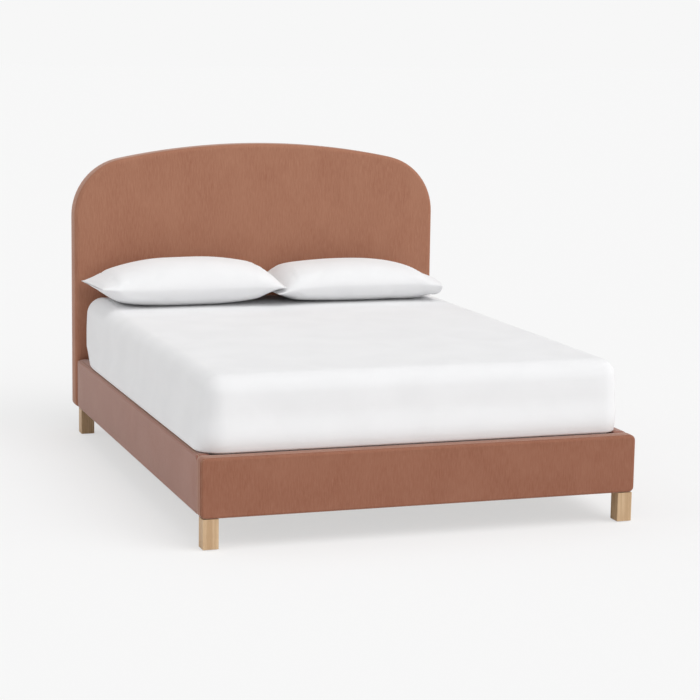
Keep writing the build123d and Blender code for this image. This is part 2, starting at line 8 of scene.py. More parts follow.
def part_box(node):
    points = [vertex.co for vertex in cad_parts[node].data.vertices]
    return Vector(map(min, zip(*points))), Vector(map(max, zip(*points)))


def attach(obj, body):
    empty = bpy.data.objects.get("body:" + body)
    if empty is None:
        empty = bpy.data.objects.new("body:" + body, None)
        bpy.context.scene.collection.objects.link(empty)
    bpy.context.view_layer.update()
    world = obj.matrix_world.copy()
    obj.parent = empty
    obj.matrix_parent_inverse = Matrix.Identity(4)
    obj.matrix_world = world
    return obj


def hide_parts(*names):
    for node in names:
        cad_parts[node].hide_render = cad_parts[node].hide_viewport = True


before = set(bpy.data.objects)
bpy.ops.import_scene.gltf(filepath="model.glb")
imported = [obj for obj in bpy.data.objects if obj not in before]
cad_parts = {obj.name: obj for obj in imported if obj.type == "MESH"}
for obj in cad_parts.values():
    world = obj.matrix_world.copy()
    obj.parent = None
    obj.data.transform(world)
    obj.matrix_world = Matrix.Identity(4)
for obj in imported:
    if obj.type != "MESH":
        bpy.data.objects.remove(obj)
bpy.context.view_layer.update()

# A queen-size bed with an arched velvet headboard, velvet rails, oak legs, a slatted base, a
# mattress in a fitted sheet and two pillows. Lengths are metres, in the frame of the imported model.

mm = 0.001
merge_distance = 0.02 * mm  # places nearer than this are one
least_edge = 0.01 * mm
collection = bpy.context.scene.collection


# Small tools for materials


def linear(code):
    """An sRGB hex colour as the linear values that a shader takes."""
    channels = [int(code[i : i + 2], 16) / 255 for i in (1, 3, 5)]
    curve = [c / 12.92 if c <= 0.04045 else ((c + 0.055) / 1.055) ** 2.4 for c in channels]
    return (*curve, 1.0)


def in_use(sockets, name=None):
    """The first socket that a node's settings leave in use, of that name if one is given."""
    return next(s for s in sockets if s.enabled and name in (None, s.name))


def set_inputs(node, inputs):
    """Gives a node its inputs, by name or number: values, or sockets to link from."""
    for name, value in inputs.items():
        socket = node.inputs[name] if isinstance(name, int) else in_use(node.inputs, name)
        if isinstance(value, bpy.types.NodeSocket):
            node.id_data.links.new(value, socket)
        else:
            socket.default_value = value


def add_node(tree, kind, inputs=None, output=None, **settings):
    """Adds a node with its own settings and inputs, and gives its first or named output."""
    node = tree.nodes.new(kind)
    for name, value in settings.items():
        setattr(node, name, value)
    set_inputs(node, inputs or {})
    return in_use(node.outputs, output)


def start_material(name):
    """A new material: its tree, its surface shader and the piece's own coordinates in metres."""
    material = bpy.data.materials.new(name)
    material.use_nodes = True
    tree = material.node_tree
    shader = next(n for n in tree.nodes if n.type == "BSDF_PRINCIPLED")
    place = add_node(tree, "ShaderNodeTexCoord", output="Object")
    return material, tree, shader, place


def laid_over(tree, under, over, pattern, low, high, most=1.0):
    """A colour laid over another. Its share goes from none to most as pattern goes low to high."""
    share = add_node(
        tree, "ShaderNodeMapRange",
        {"Value": pattern, "From Min": low, "From Max": high, "To Min": 0.0, "To Max": most},
    )
    return add_node(
        tree, "ShaderNodeMix", {"Factor": share, "A": under, "B": over}, data_type="RGBA"
    )


# Materials


def brushed_velvet(name, pile, lit_pile, sheen):
    """Short-pile polyester velvet, brushed downwards.

    The nap lies in upright streaks, some lit and some in shade, under the broad marks of a
    stroking hand, and the pile's tips catch a pale sheen wherever the surface turns away from the
    eye. The streaks are drawn coarser than real, so that they show.
    """
    material, tree, shader, place = start_material(name)
    streak_depth = 0.3 * mm
    streaks, fine_streaks, hand_marks = (
        add_node(
            tree, "ShaderNodeTexNoise",
            {
                "Vector": add_node(
                    tree, "ShaderNodeMapping",
                    {"Vector": place, "Scale": (1 / width, 1 / width, 1 / length)},
                ),
                "Scale": 1.0, "Detail": detail, "Roughness": roughness, "Distortion": distortion,
            },
        )
        for width, length, detail, roughness, distortion in (
            (4 * mm, 34 * mm, 2.0, 0.6, 0.0),
            (2 * mm, 9 * mm, 2.0, 0.6, 0.0),
            (160 * mm, 220 * mm, 3.0, 0.5, 0.6),
        )
    )
    dark, lit = linear(pile), linear(lit_pile)
    napped = laid_over(tree, dark, lit, streaks, 0.2, 0.8)
    shaded = laid_over(tree, napped, dark, fine_streaks, 0.25, 0.75, 0.35)
    fine_relief = add_node(
        tree, "ShaderNodeBump",
        {"Height": fine_streaks, "Strength": 1.0, "Distance": streak_depth},
    )
    relief = add_node(
        tree, "ShaderNodeBump",
        {"Height": streaks, "Strength": 1.0, "Distance": streak_depth, "Normal": fine_relief},
    )
    set_inputs(shader, {
        "Base Color": laid_over(tree, shaded, lit, hand_marks, 0.35, 0.7, 0.4),
        "Normal": relief,
        "Roughness": 0.95,
        "Specular IOR Level": 0.1,
        "Sheen Weight": sheen,
        "Sheen Roughness": 0.3,
        "Sheen Tint": linear("#FFF4EE"),
    })
    return material


def washed_cotton(name, cloth, thread_step):
    """Cotton cloth, washed and dried soft: woven percale, or the knitted ticking of the fillings.

    Its threads are a fine even grid, drawn coarser than real so that it shows, and the cloth
    keeps faint soft creases, painted whiter where they rise as a painted highlight.
    """
    material, tree, shader, place = start_material(name)
    crease_size, crease_depth, thread_depth = 160 * mm, 0.6 * mm, 0.05 * mm
    grid = [
        add_node(
            tree, "ShaderNodeTexWave",
            {"Vector": place, "Scale": 0.5 / thread_step, "Distortion": 0.4, "Detail": 1.0},
            output="Fac", bands_direction=axis,
        )
        for axis in ("X", "Y", "Z")
    ]
    threads = add_node(tree, "ShaderNodeMath", {0: grid[0], 1: grid[1]}, operation="ADD")
    threads = add_node(tree, "ShaderNodeMath", {0: threads, 1: grid[2]}, operation="ADD")
    creases = add_node(
        tree, "ShaderNodeTexNoise",
        {"Vector": place, "Scale": 1 / crease_size, "Detail": 2.0, "Roughness": 0.4,
         "Distortion": 0.5},
    )
    woven = add_node(
        tree, "ShaderNodeBump", {"Height": threads, "Strength": 1.0, "Distance": thread_depth}
    )
    creased = add_node(
        tree, "ShaderNodeBump",
        {"Height": creases, "Strength": 1.0, "Distance": crease_depth, "Normal": woven},
    )
    set_inputs(shader, {
        # Painted highlight: the cloth is painted whiter on the rises of its creases.
        "Base Color": laid_over(
            tree, linear(cloth), linear("#F4F4F5"), creases, 0.3, 0.7, 0.4
        ),
        "Normal": creased,
        "Roughness": 0.9,
        "Specular IOR Level": 0.2,
        "Sheen Weight": 0.1,
        "Sheen Roughness": 0.6,
    })
    return material


def planed_wood(name, along, pale, band, pore, gloss, band_width=14 * mm):
    """Solid wood planed along its grain: pale earlywood, darker bands and fine open pores.

    The bands wander slowly along the board. The pores are short strokes in line with them, drawn
    coarser than real so that they show.
    """
    material, tree, shader, place = start_material(name)
    pore_width, pore_depth = 1.1 * mm, 0.08 * mm
    patterns = []
    for width, length, detail, distortion in (
        (band_width, 28 * band_width, 3.0, 0.5),
        (pore_width, 30 * pore_width, 2.0, 0.0),
    ):
        scale = [1 / width] * 3
        scale["XYZ".index(along)] = 1 / length
        in_line = add_node(tree, "ShaderNodeMapping", {"Vector": place, "Scale": scale})
        patterns.append(
            add_node(
                tree, "ShaderNodeTexNoise",
                {"Vector": in_line, "Scale": 1.0, "Detail": detail, "Distortion": distortion},
            )
        )
    rings, pores = patterns
    banded = laid_over(tree, linear(pale), linear(band), rings, 0.38, 0.62)
    set_inputs(shader, {
        "Base Color": laid_over(tree, banded, linear(pore), pores, 0.55, 0.75, 0.7),
        "Normal": add_node(
            tree, "ShaderNodeBump", {"Height": pores, "Strength": 1.0, "Distance": -pore_depth}
        ),
        "Roughness": add_node(
            tree, "ShaderNodeMapRange",
            {"Value": pores, "From Min": 0.3, "From Max": 0.8, "To Min": gloss,
             "To Max": gloss + 0.15},
        ),
    })
    return material


def zinc_plated_steel():
    """Pressed or turned steel with bright zinc: grey, soft in its reflections, faintly clouded."""
    material, tree, shader, place = start_material("zinc_plated_steel")
    cloud_size = 9 * mm
    clouds = add_node(
        tree, "ShaderNodeTexNoise", {"Vector": place, "Scale": 1 / cloud_size, "Detail": 4.0}
    )
    set_inputs(shader, {
        "Base Color": laid_over(tree, linear("#9EA3A8"), linear("#C3C7CA"), clouds, 0.3, 0.7),
        "Roughness": add_node(
            tree, "ShaderNodeMapRange",
            {"Value": clouds, "From Min": 0.3, "From Max": 0.7, "To Min": 0.28, "To Max": 0.45},
        ),
        "Metallic": 1.0,
    })
    return material


def moulded_nylon():
    """Injection-moulded black nylon, its spark-eroded grain drawn coarser than real: it is dull."""
    material, tree, shader, place = start_material("moulded_nylon")
    grain_size, grain_depth = 0.6 * mm, 0.05 * mm
    grain = add_node(tree, "ShaderNodeTexVoronoi", {"Vector": place, "Scale": 1 / grain_size})
    set_inputs(shader, {
        "Base Color": laid_over(tree, linear("#232324"), linear("#333335"), grain, 0.0, 0.8),
        "Normal": add_node(
            tree, "ShaderNodeBump", {"Height": grain, "Strength": 1.0, "Distance": grain_depth}
        ),
        "Roughness": 0.55,
    })
    return material


def open_cell_foam():
    """Cut polyurethane foam: cream, dead matt, its open cells drawn coarser than real."""
    material, tree, shader, place = start_material("open_cell_foam")
    cell_size, cell_depth = 1.5 * mm, 0.6 * mm
    cells = add_node(tree, "ShaderNodeTexVoronoi", {"Vector": place, "Scale": 1 / cell_size})
    set_inputs(shader, {
        "Base Color": laid_over(tree, linear("#CFC49C"), linear("#E9E0BF"), cells, 0.0, 0.7),
        "Normal": add_node(
            tree, "ShaderNodeBump", {"Height": cells, "Strength": 1.0, "Distance": cell_depth}
        ),
        "Roughness": 1.0,
        "Specular IOR Level": 0.1,
    })
    return material


def spunbonded_lining():
    """Black polypropylene lining cloth: thin, matt and embossed all over with small dots."""
    material, tree, shader, place = start_material("spunbonded_lining")
    dot_step, dot_depth, fibre_size = 2.4 * mm, 0.25 * mm, 7 * mm
    dots = add_node(
        tree, "ShaderNodeTexVoronoi",
        {"Vector": place, "Scale": 1 / dot_step, "Randomness": 0.15},
    )
    fibres = add_node(
        tree, "ShaderNodeTexNoise",
        {"Vector": place, "Scale": 1 / fibre_size, "Detail": 8.0, "Roughness": 0.7},
    )
    set_inputs(shader, {
        "Base Color": laid_over(tree, linear("#232122"), linear("#3A3738"), fibres, 0.3, 0.7),
        "Normal": add_node(
            tree, "ShaderNodeBump", {"Height": dots, "Strength": 1.0, "Distance": dot_depth}
        ),
        "Roughness": 0.8,
    })
    return material


def woven_webbing():
    """Polypropylene webbing: off-white, ribbed across its width by its heavy weft."""
    material, tree, shader, place = start_material("woven_webbing")
    rib_step, rib_depth = 2.2 * mm, 0.4 * mm
    ribs = add_node(
        tree, "ShaderNodeTexWave",
        {"Vector": place, "Scale": 0.5 / rib_step, "Distortion": 0.6},
        output="Fac", bands_direction="Y",
    )
    set_inputs(shader, {
        "Base Color": laid_over(tree, linear("#CFCABD"), linear("#ECE8DD"), ribs, 0.0, 1.0),
        "Normal": add_node(
            tree, "ShaderNodeBump", {"Height": ribs, "Strength": 1.0, "Distance": rib_depth}
        ),
        "Roughness": 0.8,
    })
    return material


veneer_band = 40 * mm  # a peeled veneer shows wider bands than a sawn board

materials = {
    # One velvet in three copies. The headboard's copy is painted lighter and the foot rail's darker,
    # as painted light for how each is lit. The side rails' copy is painted greyer, as a painted
    # sheen.
    "headboard_velvet_painted_lighter": brushed_velvet("headboard_velvet_painted_lighter", "#9A6752", "#B08068", 0.6),
    "foot_velvet_painted_darker": brushed_velvet("foot_velvet_painted_darker", "#8D5B47", "#A1715C", 0.8),
    "side_velvet_painted_greyer": brushed_velvet("side_velvet_painted_greyer", "#8F6052", "#A27567", 0.9),
    "sheet": washed_cotton("sheet_cotton", "#ECECED", 1.4 * mm),
    "pillowcase": washed_cotton("pillow_cotton", "#EEEEEF", 1.2 * mm),
    "ticking": washed_cotton("knitted_ticking", "#DAD8D2", 2.4 * mm),
    "oak": planed_wood("lacquered_oak", "Z", "#D2B48F", "#BE9C76", "#9C7B58", 0.42),
    "pine_x": planed_wood("planed_pine_across", "X", "#DCBF94", "#C79F6C", "#B98F60", 0.6),
    "pine_y": planed_wood("planed_pine_along", "Y", "#DCBF94", "#C79F6C", "#B98F60", 0.6),
    "pine_z": planed_wood("planed_pine_upright", "Z", "#DCBF94", "#C79F6C", "#B98F60", 0.6),
    "plywood_x": planed_wood(
        "birch_plywood_across", "X", "#D9BF98", "#CDAE82", "#B4946A", 0.6, veneer_band
    ),
    "plywood_y": planed_wood(
        "birch_plywood_along", "Y", "#D9BF98", "#CDAE82", "#B4946A", 0.6, veneer_band
    ),
    "steel": zinc_plated_steel(),
    "nylon": moulded_nylon(),
    "foam": open_cell_foam(),
    "lining": spunbonded_lining(),
    "webbing": woven_webbing(),
}

nodes_of_finish = {
    "oak": ("front_left_leg", "front_right_leg", "rear_left_leg", "rear_right_leg"),
    "pine_x": (
        "slats", "headboard_crown_rail", "headboard_middle_rail", "headboard_lower_rail",
        "headboard_bottom_rail",
    ),
    "pine_y": ("left_slat_ledger", "right_slat_ledger", "centre_beam"),
    "pine_z": (
        "headboard_left_post", "headboard_right_post", "front_centre_leg", "rear_centre_leg",
    ),
    "plywood_x": ("headboard_face_panel", "foot_rail_board"),
    "plywood_y": ("left_side_rail_board", "right_side_rail_board"),
    "steel": (
        "foot_corner_brackets", "head_corner_brackets", "side_rail_bolts", "foot_bolts",
        "head_bolts", "leg_hanger_bolts", "ledger_screws", "slat_screws", "beam_hangers",
        "beam_hanger_screws", "centre_leg_bolts", "leveller_inserts", "front_leveller_stem",
        "rear_leveller_stem",
    ),
    "nylon": ("leg_glides", "front_leveller_pad", "rear_leveller_pad"),
    "foam": (
        "headboard_foam", "left_side_rail_foam", "right_side_rail_foam", "foot_rail_foam",
    ),
    "lining": ("headboard_back_lining",),
    "webbing": ("slat_straps",),
}


def dress_cad_nodes():
    for finish, names in nodes_of_finish.items():
        for name in names:
            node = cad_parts[name]
            node.data.materials.clear()
            node.data.materials.append(materials[finish])


# Mesh tools


def finish_piece(name, mesh, material, body, stands_for):
    """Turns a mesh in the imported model's frame into a smooth piece that rides on its body."""
    piece = bpy.data.objects.new(name, mesh)
    collection.objects.link(piece)
    mesh.materials.append(material)
    for face in mesh.polygons:
        face.use_smooth = True
    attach(piece, body)
    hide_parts(*stands_for)
    return piece


def mesh_from(name, work):
    bmesh.ops.remove_doubles(work, verts=work.verts, dist=merge_distance)
    bmesh.ops.dissolve_degenerate(work, edges=work.edges, dist=least_edge)
    bmesh.ops.recalc_face_normals(work, faces=work.faces)
    mesh = bpy.data.meshes.new(name)
    work.to_mesh(mesh)
    work.free()
    return mesh


def thickened(piece, thickness):
    """Gives a skin the thickness of its cloth, inwards."""
    cloth = piece.modifiers.new("cloth", "SOLIDIFY")
    cloth.thickness = thickness
    cloth.offset = -1


def placed(work, matrix):
    bmesh.ops.transform(work, matrix=matrix, verts=work.verts)


def join_rings(work, rings, closed=True):
    """Quads between each ring of vertices and the next."""
    for low, high in zip(rings, rings[1:]):
        count = len(low)
        for i in range(count if closed else count - 1):
            j = (i + 1) % count
            work.faces.new((low[i], low[j], high[j], high[i]))


def patch_rows(bottom, right, top, left):
    """A sheet of points spanned between four edges, as rows from bottom to top.

    bottom and top run left to right, left and right run upwards, and they share their ends.
    """
    rows = []
    for j, (start, end) in enumerate(zip(left, right)):
        t = j / (len(left) - 1)
        row = []
        for i, (low, high) in enumerate(zip(bottom, top)):
            s = i / (len(bottom) - 1)
            across = start.lerp(end, s)
            upward = low.lerp(high, t)
            corners = bottom[0].lerp(bottom[-1], s).lerp(top[0].lerp(top[-1], s), t)
            row.append(across + upward - corners)
        rows.append(row)
    return rows


def spaced(start, end, count):
    return [start + (end - start) * i / count for i in range(count + 1)]


class Outline:
    """A closed outline in front view, held one corner radius inside its true edge.

    Each entry is a place, the direction out to the edge, and the direction in which the place
    moves when the outline is drawn in further. The four edges span the face inside it.
    """

    def __init__(self, radius, bottom, right, top, left):
        self.radius = radius
        self.edges = bottom, right, top, left
        self.entries = []

    def add(self, place, outward, inward=None):
        self.entries.append((place, outward, inward or outward))

    def ring(self, inset):
        """The outline drawn in from its true edge."""
        rest = self.radius - inset
        return [p + rest * (out if rest > 0 else mitre) for p, out, mitre in self.entries]


def corner_turn(outline, place, start, turns):
    """A quarter turn of the outward direction at a corner, from a start angle in degrees."""
    mitre = Vector((cos(radians(start)), sin(radians(start)))) + Vector(
        (cos(radians(start + 90)), sin(radians(start + 90)))
    )
    for i in range(turns + 1):
        angle = radians(start + 90 * i / turns)
        outline.add(place, Vector((cos(angle), sin(angle))), mitre)


def rounded_rectangle(width, height, radius, step, turns):
    """A rectangle with rounded corners, its middle at the origin."""
    x, y = width / 2 - radius, height / 2 - radius
    columns, rows = max(2, round(2 * x / step)), max(2, round(2 * y / step))
    bottom = [Vector((u, -y)) for u in spaced(-x, x, columns)]
    top = [Vector((u, y)) for u in spaced(-x, x, columns)]
    left = [Vector((-x, v)) for v in spaced(-y, y, rows)]
    right = [Vector((x, v)) for v in spaced(-y, y, rows)]
    outline = Outline(radius, bottom, right, top, left)
    down, up, east, west = Vector((0, -1)), Vector((0, 1)), Vector((1, 0)), Vector((-1, 0))
    for run, start, outward in (
        (bottom, 180, down), (right, 270, east), (top[::-1], 0, up), (left[::-1], 90, west)
    ):
        corner_turn(outline, run[0], start, turns)
        for place in run[1:-1]:
            outline.add(place, outward)
    return outline


def arched_outline(width, height, shoulder, crown, radius, step, turns):
    """The headboard in front view, its foot at Z zero: straight sides, shoulders and crown.

    shoulder and crown are the radii of the arcs there, and radius is that of the lower corners.
    """
    half = width / 2
    crown_z = height - crown
    shoulder_x = half - shoulder
    shoulder_z = crown_z + sqrt((crown - shoulder) ** 2 - shoulder_x**2)
    turn = atan2(shoulder_z - crown_z, shoulder_x)
    x = half - radius
    bends = round(shoulder * turn / step)
    columns = round(2 * crown * (pi / 2 - turn) / step)
    over = []
    for angle in spaced(pi, pi - turn, bends):
        out = Vector((cos(angle), sin(angle)))
        over.append((Vector((-shoulder_x, shoulder_z)) + (shoulder - radius) * out, out))
    for angle in spaced(pi - turn, turn, columns)[1:]:
        out = Vector((cos(angle), sin(angle)))
        over.append((Vector((0, crown_z)) + (crown - radius) * out, out))
    for angle in spaced(turn, 0, bends)[1:]:
        out = Vector((cos(angle), sin(angle)))
        over.append((Vector((shoulder_x, shoulder_z)) + (shoulder - radius) * out, out))
    rows = round((shoulder_z - radius) / step)
    top = [place for place, out in over]
    bottom = [Vector((place.x, radius)) for place in top]
    left = [Vector((-x, v)) for v in spaced(radius, shoulder_z, rows)]
    right = [Vector((x, v)) for v in spaced(radius, shoulder_z, rows)]
    outline = Outline(radius, bottom, right, top, left)
    corner_turn(outline, bottom[0], 180, turns)
    for place in bottom[1:-1]:
        outline.add(place, Vector((0, -1)))
    corner_turn(outline, bottom[-1], 270, turns)
    for place in right[1:-1]:
        outline.add(place, Vector((1, 0)))
    for place, out in reversed(over):
        outline.add(place, out)
    for place in left[-2:0:-1]:
        outline.add(place, Vector((-1, 0)))
    return outline


# Upholstery

cover_thickness = 1.2 * mm
cover_corner_turns = 6
settle_length = 60 * mm  # how far in from its edge a face has risen by most of its padding
hollow_size = 230 * mm
hollow_depth = 1.2 * mm
boxing_start = 6 * mm  # from the front roll to the flat side behind it
boxing_swell = 1.0 * mm
boxing_steps = 6
plain_turns = range(15, 91, 15)  # degrees round a front roll without a seam
back_turns = range(18, 91, 18)
turned_shares = (0.35, 1.0)  # of the way in over the back, to where the cloth ends

headboard_shoulder = 254 * mm
headboard_crown = 3117 * mm
headboard_corner = 19 * mm
headboard_roll = 18 * mm
headboard_back_roll = 8 * mm
headboard_padding = 4 * mm  # how far the face stands out in its middle
headboard_turn = 40 * mm  # width of the cloth turned over the back
headboard_step = 22 * mm

rail_corner = 20 * mm
rail_roll = 13 * mm
rail_back_roll = 6 * mm
rail_padding = 2.5 * mm
rail_turn = 22 * mm
rail_step = 24 * mm
butt_gap = 0.8 * mm  # between the foot end of a side rail and the back of the foot rail

# A rail's seam runs along its front roll. Angles are degrees round the roll, from the face.
seam_depth = 2.4 * mm
seam_turn = 70
seam_half_turn = 12
seam_power = 0.7  # 1 gives a V-shaped groove, and less a fuller one
welt = 0.6 * mm  # how far the seam's allowance lifts the cloth in front of it
seamed_turns = (12, 24, 36, 48, 58, 63, 67, 70, 73, 77, 82, 90)


def edge_seam(angle):
    """How far the cloth stands out round the roll: pulled in at the seam, full beside it."""
    beside = abs(angle - seam_turn)
    if beside < seam_half_turn:
        return -seam_depth * (1 - beside / seam_half_turn) ** seam_power
    return welt * min(1.0, (beside - seam_half_turn) / seam_half_turn) * (angle < seam_turn)


def roll_profile(depth, roll, back_roll, seamed):
    """The padded edge from the face to the back, as inset and depth: roll, boxing, back roll."""
    front = []
    for a in seamed_turns if seamed else plain_turns:
        reach = roll + (edge_seam(a) if seamed else 0)
        front.append((roll - reach * sin(radians(a)), roll - reach * cos(radians(a))))
    start, end = roll + boxing_start, depth - back_roll
    boxing = [
        (-boxing_swell * sin(pi * share), start + (end - start) * share)
        for share in spaced(0, 1, boxing_steps)
    ]
    back = [
        (back_roll * (1 - cos(radians(a))), depth - back_roll * (1 - sin(radians(a))))
        for a in back_turns
    ]
    return front + boxing + back


def soft_unevenness(place, size, depth):
    """The slight hollows and swellings of hand-stretched padding."""
    return depth * noise.noise(place / size)


def padded_cover(outline, depth, roll, back_roll, padding, seamed, back_edge):
    """An upholstered panel in its own frame, face towards -Y.

    The face stands out by its padding in the middle. back_edge gives where the cloth ends on the
    back, from a place on the back's outline.
    """
    work = bmesh.new()
    near_edge = kdtree.KDTree(len(outline.entries))
    for i, place in enumerate(outline.ring(outline.radius)):
        near_edge.insert((place.x, place.y, 0), i)
    near_edge.balance()

    def face_depth(place):
        distance = near_edge.find((place.x, place.y, 0))[2]
        settle = 1 - exp(-distance / settle_length)
        uneven = soft_unevenness(Vector((place.x, 0, place.y)), hollow_size, hollow_depth)
        return settle * (uneven - padding)

    rows = [
        [work.verts.new((p.x, face_depth(p), p.y)) for p in row]
        for row in patch_rows(*outline.edges)
    ]
    join_rings(work, rows, closed=False)

    made = []
    rings = [(outline.radius, 0.0), (roll, 0.0)] + roll_profile(depth, roll, back_roll, seamed)
    for inset, y in rings:
        made.append([work.verts.new((p.x, y, p.y)) for p in outline.ring(inset)])
    for share in turned_shares:
        ring = []
        for place in outline.ring(back_roll):
            there = place.lerp(back_edge(place), share)
            ring.append(work.verts.new((there.x, depth, there.y)))
        made.append(ring)
    join_rings(work, made)
    return work


def make_headboard():
    low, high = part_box("headboard_cover")
    width, height, depth = high.x - low.x, high.z - low.z, high.y - low.y
    outline = arched_outline(
        width, height, headboard_shoulder, headboard_crown, headboard_corner, headboard_step,
        cover_corner_turns,
    )
    edge_of = {}
    for place, end in zip(outline.ring(headboard_back_roll), outline.ring(headboard_turn)):
        edge_of[tuple(place)] = end
    work = padded_cover(
        outline, depth, headboard_roll, headboard_back_roll, headboard_padding, False,
        lambda place: edge_of[tuple(place)],
    )
    placed(work, Matrix.Translation((0, low.y, low.z)))
    piece = finish_piece(
        "headboard_upholstery", mesh_from("headboard_upholstery", work),
        materials["headboard_velvet_painted_lighter"], "frame", ["headboard_cover"],
    )
    thickened(piece, cover_thickness)


def make_rail(name, node, width, depth, matrix, velvet, window_top):
    """One padded rail: its middle at the origin of its own frame, before matrix places it.

    Behind it the cloth ends round a window, so that the slats, brackets and ledgers meet the
    board. window_top is the window's upper edge, from the foot of the rail.
    """
    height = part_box(node)[1].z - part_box(node)[0].z
    outline = rounded_rectangle(width, height, rail_corner, rail_step, cover_corner_turns)
    x, low, high = width / 2 - rail_turn, rail_turn - height / 2, window_top - height / 2

    def back_edge(place):
        return Vector((min(max(place.x, -x), x), min(max(place.y, low), high)))

    work = padded_cover(outline, depth, rail_roll, rail_back_roll, rail_padding, True, back_edge)
    placed(work, matrix)
    piece = finish_piece(name, mesh_from(name, work), velvet, "frame", [node])
    thickened(piece, cover_thickness)


def make_rails():
    slat_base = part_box("slats")[0].z
    for side, turn in (("left", -90), ("right", 90)):
        node = f"{side}_side_rail_cover"
        low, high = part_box(node)
        middle = (low + high) / 2
        face = low.x if side == "left" else high.x
        matrix = Matrix.Translation((face, middle.y + butt_gap / 2, middle.z)) @ Matrix.Rotation(
            radians(turn), 4, "Z"
        )
        make_rail(
            f"{side}_side_rail_upholstery", node, high.y - low.y - butt_gap, high.x - low.x,
            matrix, materials["side_velvet_painted_greyer"], slat_base - low.z,
        )
    low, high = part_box("foot_rail_cover")
    middle = (low + high) / 2
    make_rail(
        "foot_rail_upholstery", "foot_rail_cover", high.x - low.x, high.y - low.y,
        Matrix.Translation((middle.x, low.y, middle.z)), materials["foot_velvet_painted_darker"],
        slat_base - low.z,
    )


# Mattress and fitted sheet

bed_corner = 48 * mm  # radius of an upright corner
bed_corner_turns = 10
bed_step = 32 * mm
bed_shoulder = 68 * mm  # radius of the top edge
bed_swell = 28 * mm  # from the straight lower side to the widest part above it
bed_swell_base = 24 * mm
bed_swell_top = 25 * mm
bed_nose = 8 * mm  # radius on which the swell turns in again, above the rails
bed_plain = 52 * mm  # height of the straight lower side
bed_foot_edge = 25 * mm  # radius of the lower edge
under_shares = (0.3, 0.65, 1.0)  # of the way in under the mattress
shoulder_steps, side_steps, edge_steps = 9, 10, 5

# Low down the sheet stands out over the left rail and the foot rail. Its hem draws it in along
# the right side and the head, and along the last of the left side, from left_tuck_start on.
left_overhang = 24 * mm
foot_overhang = 21 * mm
overhang_low, overhang_high = 80 * mm, 190 * mm
right_tuck = 8 * mm
head_tuck = 12 * mm
tuck_low, tuck_high = 55 * mm, 120 * mm
left_tuck_start, left_tuck_run = 720 * mm, 240 * mm

# The top is higher towards the head's left corner.
head_corner_lift = 10 * mm
lift_side_start, lift_side_run = 580 * mm, 160 * mm
lift_head_start, lift_head_run = 550 * mm, 300 * mm

sheet_fit = 1.4 * mm  # from the mattress to the sheet's outer face
sheet_thickness = 0.5 * mm
sheet_turn = 120 * mm  # how far the sheet turns under the mattress
sheet_hollow_size, sheet_hollow_depth = 350 * mm, 1.2 * mm
taut_height, taut_run = 80 * mm, 60 * mm  # the hollows fade in above this height


def arc_points(middle, radius, start, end, count):
    """Points along an arc, angles in degrees."""
    return [
        (middle[0] + radius * cos(radians(a)), middle[1] + radius * sin(radians(a)))
        for a in spaced(start, end, count)
    ]


def through(a, b, c, count):
    """Points on the arc through three places, from the first to the last."""
    ax, ay, bx, by, cx, cy = *a, *b, *c
    d = 2 * (ax * (by - cy) + bx * (cy - ay) + cx * (ay - by))
    sa, sb, sc = ax * ax + ay * ay, bx * bx + by * by, cx * cx + cy * cy
    mx = (sa * (by - cy) + sb * (cy - ay) + sc * (ay - by)) / d
    my = (sa * (cx - bx) + sb * (ax - cx) + sc * (bx - ax)) / d
    radius = hypot(ax - mx, ay - my)
    start, end = atan2(ay - my, ax - mx), atan2(cy - my, cx - mx)
    if end - start > pi:
        end -= 2 * pi
    if start - end > pi:
        end += 2 * pi
    return [(mx + radius * cos(t), my + radius * sin(t)) for t in spaced(start, end, count)]


def bed_section(depth, grow, under):
    """The mattress's edge from its top to the underside, as (out, up) from its straight side."""
    shoulder_low = depth - bed_shoulder
    shoulder_in = bed_swell_top - bed_shoulder
    nose = (bed_swell_base - bed_nose, bed_plain + bed_nose)
    lower_edge = (-bed_foot_edge, bed_foot_edge)
    points = [(-bed_corner, depth + grow)]
    points += arc_points((shoulder_in, shoulder_low), bed_shoulder + grow, 90, 0, shoulder_steps)
    points += through(
        (bed_swell_top + grow, shoulder_low),
        (bed_swell + grow, (nose[1] + shoulder_low) / 2),
        (bed_swell_base + grow, nose[1]),
        side_steps,
    )[1:]
    points += arc_points(nose, bed_nose + grow, 0, -90, edge_steps)[1:]
    points += [(grow, bed_plain - grow)]
    points += arc_points(lower_edge, bed_foot_edge + grow, 0, -90, edge_steps)
    points += [(-bed_foot_edge - (under - bed_foot_edge) * t, -grow) for t in under_shares]
    return points


def held_share(share):
    """A share held between 0 and 1."""
    return min(1.0, max(0.0, share))


def eased(share):
    """A share held between 0 and 1, with a soft start and end."""
    share = held_share(share)
    return share * share * (3 - 2 * share)


def overhang(place, outward, out, up):
    """How far the cloth stands out past the even form at a place round the mattress.

    It counts only where the even form swells out already, by how far out it is there.
    """
    bulge_share = eased((overhang_high - up) / (overhang_high - overhang_low))
    tuck_share = eased((tuck_high - up) / (tuck_high - tuck_low))
    head = held_share((place.y - left_tuck_start) / left_tuck_run) ** 2
    left, right = max(0.0, -outward.x) ** 2, max(0.0, outward.x) ** 2
    foot, top = max(0.0, -outward.y) ** 2, max(0.0, outward.y) ** 2
    bulge = left * left_overhang * (1 - head) + foot * foot_overhang
    tuck = right * right_tuck + (left * head + top) * head_tuck
    return held_share(out / bed_swell_base) * (bulge_share * bulge - tuck_share * tuck)


def corner_lift(place):
    """How much higher the mattress's top is near the head's left corner than elsewhere."""
    side_share = eased((-place.x - lift_side_start) / lift_side_run)
    head_share = eased((place.y - lift_head_start) / lift_head_run)
    return head_corner_lift * side_share * head_share


def bed_ring(outline, out, up):
    """The mattress's outline at one height, as places in its own frame."""
    reach = outline.radius + out
    return [
        place + (reach + overhang(place, outward, out, up)) * outward if reach > 0
        else place + reach * mitre
        for place, outward, mitre in outline.entries
    ]


